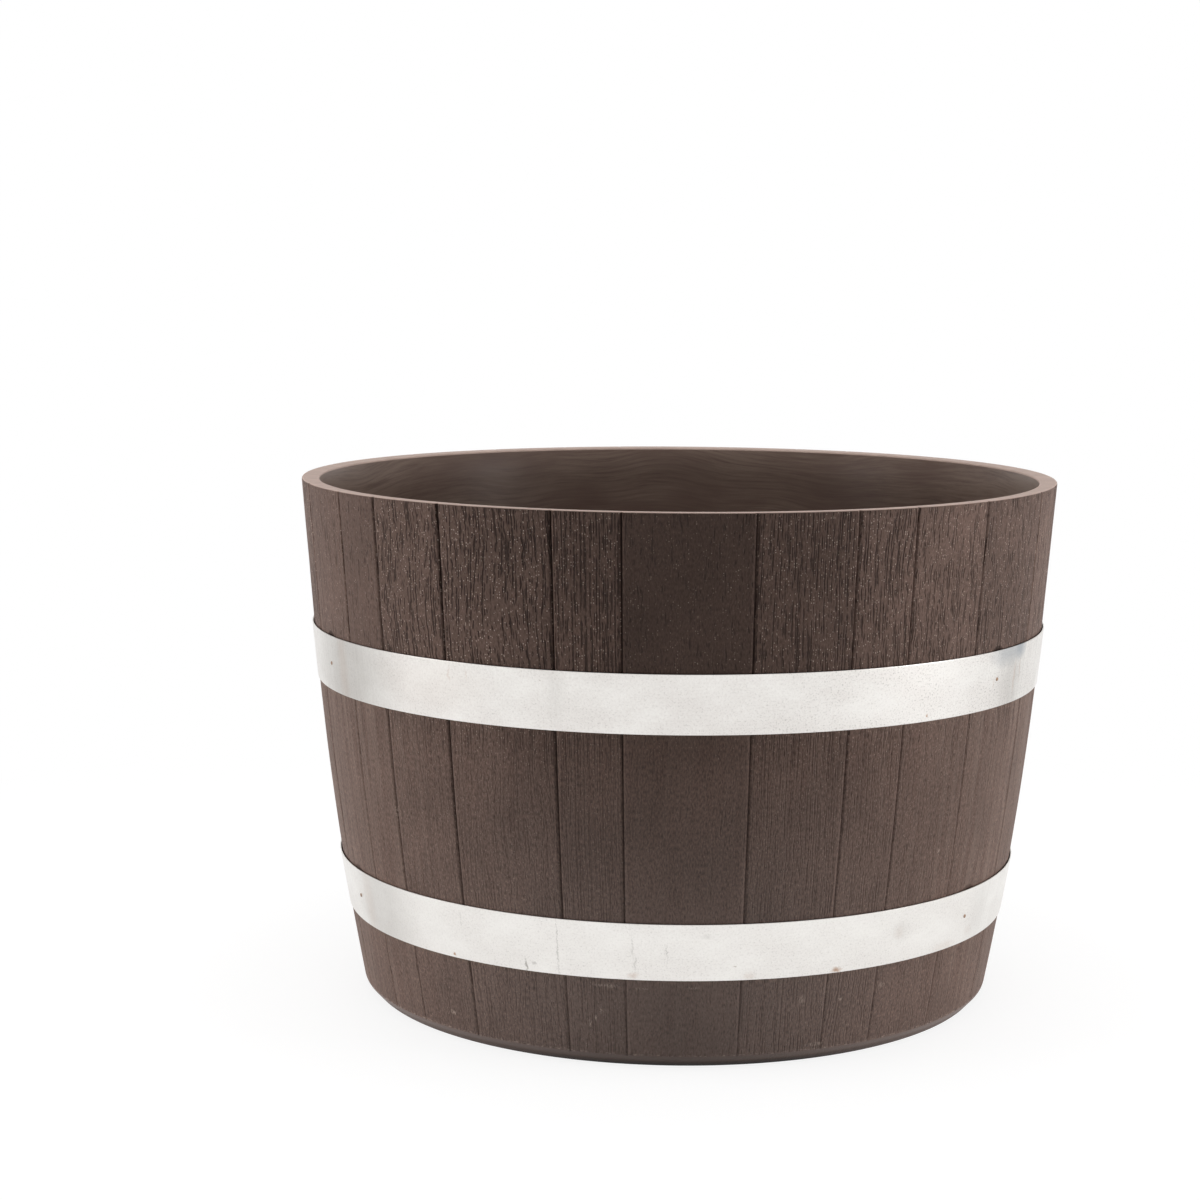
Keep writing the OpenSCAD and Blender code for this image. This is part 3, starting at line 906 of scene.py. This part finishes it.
    # the edge above the bevel is rubbed pale in short runs
    edge = add("MapRange", {0: height, 1: 8.3 * MM, 2: 9.6 * MM, 3: 1.0, 4: 0.0})
    rubbed = blotches(add, u, v, seed, 3, 1.2)
    rubbed = add("MapRange", {0: rubbed, 1: 0.5, 2: 0.65, 3: 0.0, 4: 0.5})
    edge = add("Math", {0: edge, 1: rubbed}, operation="MULTIPLY")
    ticks = add("MapRange", {0: fine, 1: 0.42, 2: 0.6, 3: 0.1, 4: 1.5})
    scuffed = add("Math", {0: scuffs(add, x, y, height), 1: ticks}, operation="MULTIPLY")
    for share, paint in ((smears, c.ridge), (veil_share, c.veil), (pored, c.pore), (painted_glints, c.ridge),
                         (shade_and_dirt, c.pore), (edge, c.ridge), (scuffed, c.ridge)):
        colour = add("Mix", {0: share, 6: colour, 7: paint}, data_type="RGBA").outputs[2]

    relief = add("Math", {0: relief, 1: sharp}, operation="MULTIPLY")
    join(shader, {"Base Color": colour, "Specular IOR Level": 0.12,
                  "Roughness": add("MapRange", {0: dots, 1: 0.2, 2: 0.8, 3: 0.62, 4: 0.3}),
                  "Normal": add("Bump", {"Strength": 1.0, "Distance": 0.6 * MM, "Height": relief})})
    return material


def smooth_foam():
    """Structural foam, moulded smooth: the trimmed rim, the bevel and the foot ring.

    The rim is rubbed pale. The bevel is paler at its top and has painted shadow towards the ground.
    """
    material, shader, add, c = new_material("Structural foam, moulded smooth")
    s = bpy.context.scene.planter_shell
    place = add("TexCoord").outputs["Object"]
    x, y, height = add("SeparateXYZ", {0: place}).outputs
    # the rim is rubbed on its top, and on its inner edge a little further down
    flat = add("VectorMath", {0: place, 1: (1, 1, 0)}, operation="MULTIPLY")
    radius = add("VectorMath", {0: flat}, operation="LENGTH").outputs["Value"]
    top = add("MapRange", {0: height, 1: s.height - 0.5 * MM, 2: s.height - 0.1 * MM})
    inward = add("MapRange", {0: radius, 1: s.rim_r - 1.5 * MM, 2: s.rim_r - 2.5 * MM})
    above = add("MapRange", {0: height, 1: s.height - 2 * MM, 2: s.height - 1.5 * MM})
    inward = add("Math", {0: inward, 1: above}, operation="MULTIPLY")
    on_rim = add("Math", {0: top, 1: inward}, operation="MAXIMUM")
    mottle = add("TexNoise", {"Vector": place, "Scale": 1 / (12 * MM), "Detail": 4.0, "Roughness": 0.6})
    rubbed = add("MapRange", {0: mottle, 1: 0.35, 2: 0.65, 3: 0.85, 4: 1.0})
    rubbed = add("Math", {0: rubbed, 1: on_rim}, operation="MULTIPLY")
    # painted contact shadow, darkest at the ground and near the middle of the front
    middle = add("Math", {0: x, 1: 20 * MM}, operation="SUBTRACT")
    middle = add("Math", {0: middle}, operation="ABSOLUTE")
    middle = add("MapRange", {0: middle, 1: 60 * MM, 2: 170 * MM, 3: 0.7, 4: 0.0})
    front = add("MapRange", {0: y, 1: -150 * MM, 2: -200 * MM})
    middle = add("Math", {0: middle, 1: front}, operation="MULTIPLY")
    middle = add("Math", {0: middle, 1: 0.3}, operation="ADD")
    # painted contact shadow, strongest at the ground
    painted_shadow = add("MapRange", {0: height, 1: 0.8 * MM, 2: 5.0 * MM, 3: 1.0, 4: 0.0})
    painted_shadow = add("Math", {0: painted_shadow, 1: middle}, operation="MULTIPLY")
    # a pale veil towards the top of the bevel
    veil_share = add("MapRange", {0: height, 1: 3.5 * MM, 2: 6.5 * MM, 3: 0.0, 4: 0.1})
    below = add("MapRange", {0: height, 1: 20 * MM, 2: 25 * MM, 3: 1.0, 4: 0.0})
    veil_share = add("Math", {0: veil_share, 1: below}, operation="MULTIPLY")
    colour = c.stave
    for share, paint in ((veil_share, c.veil), (painted_shadow, c.painted_shadow), (rubbed, c.rim)):
        colour = add("Mix", {0: share, 6: colour, 7: paint}, data_type="RGBA").outputs[2]
    specks = add("TexNoise", {"Vector": place, "Scale": 1 / (1.5 * MM), "Detail": 2.0})
    join(shader, {"Base Color": colour, "Roughness": 0.5, "Specular IOR Level": 0.1,
                  "Normal": add("Bump", {"Strength": 1.0, "Distance": 0.25 * MM, "Height": specks})})
    return material


def swirled_foam():
    """Structural foam, the smooth inside with its flow marks.

    Where the foam rose in the mould it left arcs and brushed swirls, a shade paler and darker,
    under a satin skin.
    """
    material, shader, add, c = new_material("Structural foam, smooth with flow marks")
    place = add("VectorMath", {0: add("TexCoord").outputs["Object"], "Scale": 1 / MM}, operation="SCALE")
    # long strokes that run round the wall, and rise and fall with a broad warp
    warp = strayed(add, place, 130, 45.0, 1.0)
    warp = add("VectorMath", {0: warp, 1: (1 / 40, 1 / 40, 1 / 2.3)}, operation="MULTIPLY")
    strokes = add("TexNoise", {"Vector": warp, "Scale": 1.0, "Detail": 4.0, "Roughness": 0.7})
    broad = add("VectorMath", {0: place, 1: (1 / 90, 1 / 90, 1 / 40)}, operation="MULTIPLY")
    clouds = add("TexNoise", {"Vector": broad, "Scale": 1.0, "Detail": 2.0, "Roughness": 0.55})
    # some stretches are brushed and others plain
    brushed = add("MapRange", {0: clouds, 1: 0.4, 2: 0.6, 3: 0.4, 4: 1.1})
    cloudy = add("MapRange", {0: clouds, 3: 0.15, 4: 0.85})
    shade = add("Math", {0: strokes, 1: 0.5}, operation="SUBTRACT")
    shade = add("Math", {0: shade, 1: brushed, 2: cloudy}, operation="MULTIPLY_ADD")
    shade = add("MapRange", {0: shade, 1: 0.33, 2: 0.7})
    relief = add("Math", {0: strokes, 1: brushed}, operation="MULTIPLY")
    colour = add("Mix", {0: shade, 6: c.inside, 7: c.swirl}, data_type="RGBA").outputs[2]
    join(shader, {"Base Color": colour, "Specular IOR Level": 0.14,
                  "Roughness": add("MapRange", {0: strokes, 1: 0.3, 2: 0.7, 3: 0.3, 4: 0.38}),
                  "Normal": add("Bump", {"Strength": 1.0, "Distance": 0.04 * MM, "Height": relief})})
    return material


# Marks on the strips: the angle in degrees, the height above the strip's middle, half the width and
# half the height in millimetres, the name of the colour and its share. The angles past a full turn
# lie on the outer end of the strip, in the lap.
LAP_MARKS = (
    (537.26, 0, 6, 6, "tarnish", 0.5), (542.74, 0, 6, 6, "tarnish", 0.5),
    (537.6, -12, 1.5, 7, "rust", 0.25), (545.6, 0, 3, 30, "tarnish", 0.3),
    (532.0, 0, 12, 30, "tarnish", 0.15),
)
MARKS = {
    "upper": (
        # the two broad marks at -58 and 60 degrees are painted shade, where the strip reflects less light
        (-58, 0, 62, 60, "tarnish", 0.42), (60, 0, 24, 45, "tarnish", 0.26),
        (-60, 0, 9, 40, "rust", 0.14), (-17, 4, 8, 20, "tarnish", 0.10),
        (-38, 4, 50, 24, "rust", 0.07), (-34, 11, 0.8, 7, "rust", 0.22),
        (-31, 12, 0.6, 5, "rust", 0.18), (-19, 12, 0.9, 0.7, "brad", 0.6),
        (58, 17, 26, 11, "stain", 0.42), (62.5, 17, 11, 9, "stain", 0.55),
        (54, -2, 1.5, 4, "rust", 0.15), (53.5, -14, 0.6, 8, "tarnish", 0.2),
        (61, -3, 2, 12, "rust", 0.25), (63, 2, 1.2, 10, "rust", 0.25),
        (38.8, -15, 1.2, 1, "rust", 0.8),
    ),
    "lower": (
        # the broad marks at -56 and 60 degrees are painted shade, where the strip reflects less light
        (-61, -5, 10, 45, "rust", 0.14), (-56, 0, 42, 60, "tarnish", 0.28),
        (60, 0, 18, 45, "tarnish", 0.10), (-35.5, 9, 0.5, 5, "tarnish", 0.2),
        (-18.2, 0, 0.5, 26, "tarnish", 0.4), (-23.8, -15, 0.8, 6, "tarnish", 0.7),
        (-22.4, -13, 2, 2, "tarnish", 0.4), (-37.8, -17, 1.1, 1, "rust", 0.9),
        (-6.3, 3, 0.5, 11, "tarnish", 0.25), (-5.9, -8, 1, 6, "tarnish", 0.3),
        (-6.2, -16, 4, 3, "rust", 0.28), (-1, 0, 0.4, 10, "tarnish", 0.4),
        (5, 11, 4, 2, "tarnish", 0.15), (9.5, -10, 0.9, 0.8, "brad", 0.5),
        (11.8, -16, 4, 3, "rust", 0.16), (26.5, -17.5, 4.5, 2.4, "rust", 0.75),
        (26.3, -17.5, 2, 1.6, "brad", 0.3), (38.3, 3, 9, 9, "tarnish", 0.1),
        (38, 2, 5, 5, "rust", 0.1), (57, -11, 6, 4, "rust", 0.08),
        (50, -17, 14, 4, "rust", 0.12),
    ),
}
# The dark specks get thicker between two angles in degrees, from the first share to the second
SPECKLED = {"upper": (5, 35, 0.24, 0.5), "lower": (-60, -20, 0.14, 0.22)}
DULL = {"upper": 1.0, "lower": 0.7}           # the share of a hoop's bloom and of its rain marks


def galvanised_strip(name, hoop, h):
    """Steel strip, hot-dip galvanised and rolled.

    Soft mottled zinc, dull where it bloomed, with faint marks of the rolls along its length, fine
    dark specks, creases, stains, a little rust and broad painted shade towards its sides.
    """
    material, shader, add, c = new_material("Steel strip, hot-dip galvanised, " + name)
    flow = add("VectorMath", {0: add("UVMap", uv_map="flow"), "Scale": 1 / MM}, operation="SCALE")
    u, v = add("SeparateXYZ", {0: flow}).outputs[:2]

    def along(angle):
        """How many millimetres along the strip an angle in degrees lies."""
        turn = math.radians(angle) - h.lap_at + h.lap_len / 2 / hoop.mid_r
        return (turn if turn > 0 else turn + TURN) * hoop.mid_r / MM

    clouds = blotches(add, u, v, 3.0, 40, 25, 3.0)
    rolled = blotches(add, u, v, 8.0, 30, 0.8)
    fine = blotches(add, u, v, 11.0, 1.6, 2.2)
    mottle = add("Mix", {0: 0.15, 2: clouds, 3: rolled}, data_type="FLOAT")
    mottle = add("Mix", {0: 0.35, 2: mottle, 3: fine}, data_type="FLOAT")
    bloom = add("MapRange", {0: mottle, 1: 0.3, 2: 0.6, 4: DULL[name]})
    start, stop, few, many = SPECKLED[name]
    specks = add("MapRange", {0: blotches(add, u, v, 5.0, 1.2, 1.2, 3.0), 1: 0.54, 2: 0.70})
    for share in (add("MapRange", {0: clouds, 1: 0.35, 2: 0.6, 3: 0.5, 4: 1.3}),
                  add("MapRange", {0: u, 1: along(start), 2: along(stop), 3: few, 4: many})):
        specks = add("Math", {0: specks, 1: share}, operation="MULTIPLY")
    # rain has run down the strip at its sides
    side = add("SeparateXYZ", {0: add("TexCoord").outputs["Object"]})
    side = add("Math", {0: side}, operation="ABSOLUTE")
    side = add("MapRange", {0: side, 1: 180 * MM, 2: 235 * MM, 3: 0.0, 4: 0.2 * DULL[name]})
    runs = add("MapRange", {0: blotches(add, u, v, 17.0, 2.4, 90), 1: 0.42, 2: 0.68})
    runs = add("Math", {0: runs, 1: side}, operation="MULTIPLY")
    layers = [(bloom, c.bloom), (specks, c.tarnish), (runs, c.tarnish)]
    spot = strayed(add, flow, 7, 8.0, 4.0, 0.75)
    for angle, up, half_w, half_h, paint, share in MARKS[name] + LAP_MARKS:
        share = mark(add, spot, (along(angle), up, 0), (half_w, half_h), share)
        layers.append((share, getattr(c, paint)))
    colour = c.zinc
    for share, paint in layers:
        colour = add("Mix", {0: share, 6: colour, 7: paint}, data_type="RGBA").outputs[2]
    join(shader, {"Base Color": colour, "Metallic": 1.0,
                  "Roughness": add("MapRange", {0: mottle, 1: 0.35, 2: 0.65, 3: 0.32, 4: 0.42}),
                  "Normal": add("Bump", {"Strength": 1.0, "Distance": 0.05 * MM, "Height": rolled})})
    return material


def brad_steel():
    """Plain steel wire, cold headed: dull and browned by the weather."""
    material, shader, add, c = new_material("Steel brad, cold headed")
    place = add("TexCoord").outputs["Object"]
    spots = add("TexNoise", {"Vector": place, "Scale": 1 / (0.5 * MM), "Detail": 2.0})
    share = add("MapRange", {0: spots, 1: 0.4, 2: 0.6, 3: 0.0, 4: 0.5})
    colour = add("Mix", {0: share, 6: c.brad, 7: c.rust}, data_type="RGBA").outputs[2]
    join(shader, {"Base Color": colour, "Metallic": 1.0, "Roughness": 0.5})
    return material


def rivet_zinc():
    """Steel rivet, zinc plated: bluer than the strip, scuffed by the setting tool."""
    material, shader, add, c = new_material("Steel rivet, zinc plated")
    place = add("TexCoord").outputs["Object"]
    worn = add("TexNoise", {"Vector": place, "Scale": 1 / (0.9 * MM), "Detail": 3.0})
    share = add("MapRange", {0: worn, 1: 0.4, 2: 0.65, 3: 0.25, 4: 0.75})
    colour = add("Mix", {0: share, 6: c.zinc, 7: c.stain}, data_type="RGBA").outputs[2]
    join(shader, {"Base Color": colour, "Metallic": 1.0,
                  "Roughness": add("MapRange", {0: worn, 1: 0.35, 2: 0.65, 3: 0.25, 4: 0.4})})
    return material


# Stage: camera, lights, floor and world

LENS = 76.87                              # mm
SENSOR = 36                               # mm
CAMERA_AT = (0.0, -1.7778, 0.5111)
CAMERA_PAN = math.radians(1.733)
CAMERA_DOWN = math.radians(7.793)
CAMERA_ROLL = math.radians(0.29)
CAMERA_FAR = 100
# Lamps at the sides as (angle from the front, distance, height, width, size upwards, watts). The
# soft boxes light the object, and the strip boxes only show in what shines.
SIDE_LAMPS = {
    "soft_left": (math.radians(-84), 1.7, 0.22, 1.3, 0.5, 28.2),
    "strip_left": (math.radians(-72), 1.6, 0.5, 0.3, 0.6, 2.275),
    "soft_right": (math.radians(84), 1.7, 0.22, 1.3, 0.5, 29.1),
    "strip_right": (math.radians(72), 1.6, 0.5, 0.3, 0.6, 5.525),
}
TOP_LAMP = (2.2, 1.4, 21.0)               # height, size, watts
AIM = Vector((0, 0, 0.18))                # all lamps point here
FLOOR_R = 12.0
AMBIENT = 0.16                            # strength of the world's light
PALE_R = (0.45, 0.9)                      # the shadow fades out between these radii
SHADOW_PALE = 0.25                        # how much of the shadow the camera sees
SHADOW_GLOW = 0.84                        # and the light that lifts the rest of the floor to white


def area_lamp(name, place, size, watts, lights, shows):
    """An area light aimed at the middle of the object, which lights it, shows in it or does both."""
    lamp = bpy.data.lights.new(name, "AREA")
    lamp.shape = "RECTANGLE"
    lamp.size, lamp.size_y = size
    lamp.energy = watts
    light = bpy.data.objects.new(name, lamp)
    light.location = place
    light.rotation_euler = (place - AIM).to_track_quat("Z", "Y").to_euler()
    light.visible_diffuse = lights
    light.visible_glossy = shows
    bpy.context.scene.collection.objects.link(light)


def seen_ray(add):
    """1 for what the camera, a reflection or glass sees, and 0 for light that is scattered."""
    path = add("LightPath")
    seen = add("Math", {0: path.outputs["Is Camera Ray"], 1: path.outputs["Is Glossy Ray"]},
               operation="MAXIMUM")
    return add("Math", {0: seen, 1: path.outputs["Is Transmission Ray"]}, operation="MAXIMUM")


def studio_floor():
    """Seamless white paper: it takes the object's soft shadow and runs out into pure white."""
    material, shader, add, c = new_material("Seamless paper, matt white")
    tree = material.node_tree
    place = add("TexCoord").outputs["Object"]
    radius = add("VectorMath", {0: place}, operation="LENGTH").outputs["Value"]
    near = add("MapRange", {0: radius, 1: PALE_R[0], 2: PALE_R[1], 3: 1.0, 4: 0.0})
    paper = add("BsdfDiffuse", {"Color": c.floor})
    thin = add("BsdfDiffuse", {"Color": (SHADOW_PALE, SHADOW_PALE, SHADOW_PALE, 1)})
    shaded = add("AddShader", {0: thin, 1: add("Emission", {"Strength": SHADOW_GLOW})})
    shown = add("MixShader", {0: near, 1: add("Emission", {"Strength": 1.0}), 2: shaded})
    mixed = add("MixShader", {0: seen_ray(add), 1: paper, 2: shown})
    tree.nodes.remove(shader)
    join(tree.nodes["Material Output"], {"Surface": mixed})
    return material


class PLANTER_OT_stage(bpy.types.Operator):
    """Set up the camera, the soft lights, the floor and the white background"""
    bl_idname = "planter.build_stage"
    bl_label = "Stage"

    def execute(self, context):
        scene = context.scene
        scene.view_settings.view_transform = "Standard"
        camera = bpy.data.objects.new("camera", bpy.data.cameras.new("camera"))
        camera.data.lens = LENS
        camera.data.sensor_width = SENSOR
        camera.data.clip_end = CAMERA_FAR
        camera.matrix_world = (Matrix.Translation(CAMERA_AT) @ Matrix.Rotation(CAMERA_PAN, 4, "Z")
                               @ Matrix.Rotation(math.pi / 2 - CAMERA_DOWN, 4, "X")
                               @ Matrix.Rotation(CAMERA_ROLL, 4, "Z"))
        scene.collection.objects.link(camera)
        scene.camera = camera
        for name, (angle, distance, height, width, tall, watts) in SIDE_LAMPS.items():
            soft = name.startswith("soft")
            area_lamp(name, at(angle, distance, height), (width, tall), watts, soft, not soft)
        height, size, watts = TOP_LAMP
        area_lamp("top", Vector((0, 0, height)), (size, size), watts, True, True)

        bm = bmesh.new()
        bmesh.ops.create_circle(bm, cap_ends=True, radius=FLOOR_R, segments=96)
        mesh = bpy.data.meshes.new("floor")
        bm.to_mesh(mesh)
        bm.free()
        mesh.materials.append(studio_floor())
        floor = bpy.data.objects.new("floor", mesh)
        scene.collection.objects.link(floor)

        world = bpy.data.worlds.new("studio")
        world.use_nodes = True
        scene.world = world
        add = functools.partial(add_node, world.node_tree)
        join(world.node_tree.nodes["Background"], {
            "Color": (1, 1, 1, 1), "Strength": add("MapRange", {0: seen_ray(add), 3: AMBIENT})})
        return {"FINISHED"}


# Add-on

STEPS = (PLANTER_OT_stage, PLANTER_OT_shell, PLANTER_OT_hoops, PLANTER_OT_brads, PLANTER_OT_rivets)
GROUPS = {"planter_shell": ShellSizes, "planter_hoops": HoopSizes, "planter_pins": PinSizes,
          "planter_colours": PlanterColours}


class PLANTER_PT_panel(bpy.types.Panel):
    """Lists the steps that build the planter, with its sizes and colours"""
    bl_idname = "PLANTER_PT_panel"
    bl_label = "Half-Barrel Planter"
    bl_space_type = "VIEW_3D"
    bl_region_type = "UI"
    bl_category = "Planter"

    def draw(self, context):
        for step in STEPS:
            self.layout.operator(step.bl_idname)
        for name, group in GROUPS.items():
            box = self.layout.box()
            for size in group.__annotations__:
                box.prop(getattr(context.scene, name), size)


def register():
    for cls in (*GROUPS.values(), *STEPS, PLANTER_PT_panel):
        bpy.utils.register_class(cls)
    for name, group in GROUPS.items():
        setattr(bpy.types.Scene, name, bpy.props.PointerProperty(type=group))


def unregister():
    for name in GROUPS:
        delattr(bpy.types.Scene, name)
    for cls in reversed((*GROUPS.values(), *STEPS, PLANTER_PT_panel)):
        bpy.utils.unregister_class(cls)


def main():
    register()
    bpy.ops.planter.build_stage()
    bpy.ops.planter.build_shell()
    bpy.ops.planter.build_hoops()
    bpy.ops.planter.build_brads()
    bpy.ops.planter.build_rivets()


if __name__ == "__main__":
    main()
